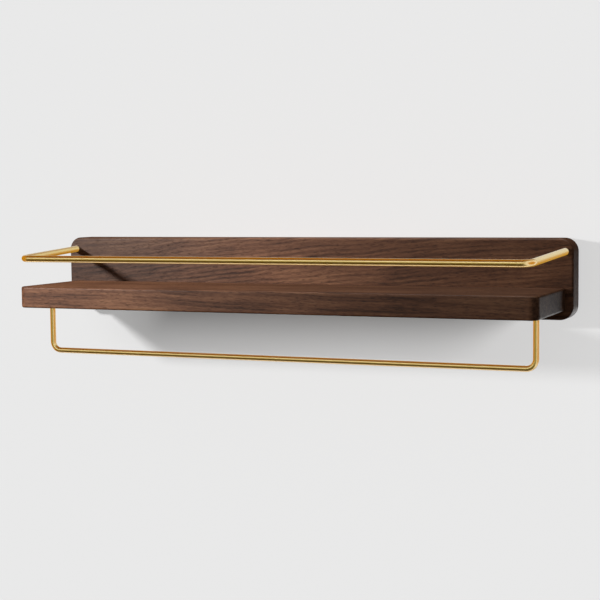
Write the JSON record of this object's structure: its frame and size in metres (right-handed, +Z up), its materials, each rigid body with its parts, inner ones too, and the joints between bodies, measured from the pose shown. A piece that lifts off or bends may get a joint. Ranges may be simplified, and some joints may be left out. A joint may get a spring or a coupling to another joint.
{
  "type": "wall shelf",
  "caption": "Wall shelf of dark wood: a low back board with a narrow shelf board, a bent brass guard rail above it and a bent brass towel bar below, hung on hidden keyhole plates.",
  "frame": {"origin": "centre of the back board's rear face, which lies on the wall", "axes": "+X to the right along the shelf as seen from the room, +Y into the wall, +Z up"},
  "size_m": [0.45, 0.1142, 0.0968],
  "materials": {
    "walnut": "oiled, satin, fine straight grain with some curl",
    "polished_brass": "polished to a mirror",
    "beech": "plain, sanded stock",
    "zinc_steel": "bright zinc plate"
  },
  "bodies": {
    "root": {"back_board": "walnut", "shelf_board": "walnut", "guard_rail": "polished_brass", "towel_bar": "polished_brass", "shelf_dowel_left": "beech", "shelf_dowel_right": "beech", "shelf_screw_1": "zinc_steel", "shelf_screw_2": "zinc_steel", "shelf_screw_3": "zinc_steel", "shelf_screw_4": "zinc_steel", "rail_screw_left": "zinc_steel", "rail_screw_right": "zinc_steel", "hanger_plate_left": "zinc_steel", "hanger_plate_right": "zinc_steel", "hanger_screw_left_upper": "zinc_steel", "hanger_screw_left_lower": "zinc_steel", "hanger_screw_right_upper": "zinc_steel", "hanger_screw_right_lower": "zinc_steel"}
  },
  "joints": []
}
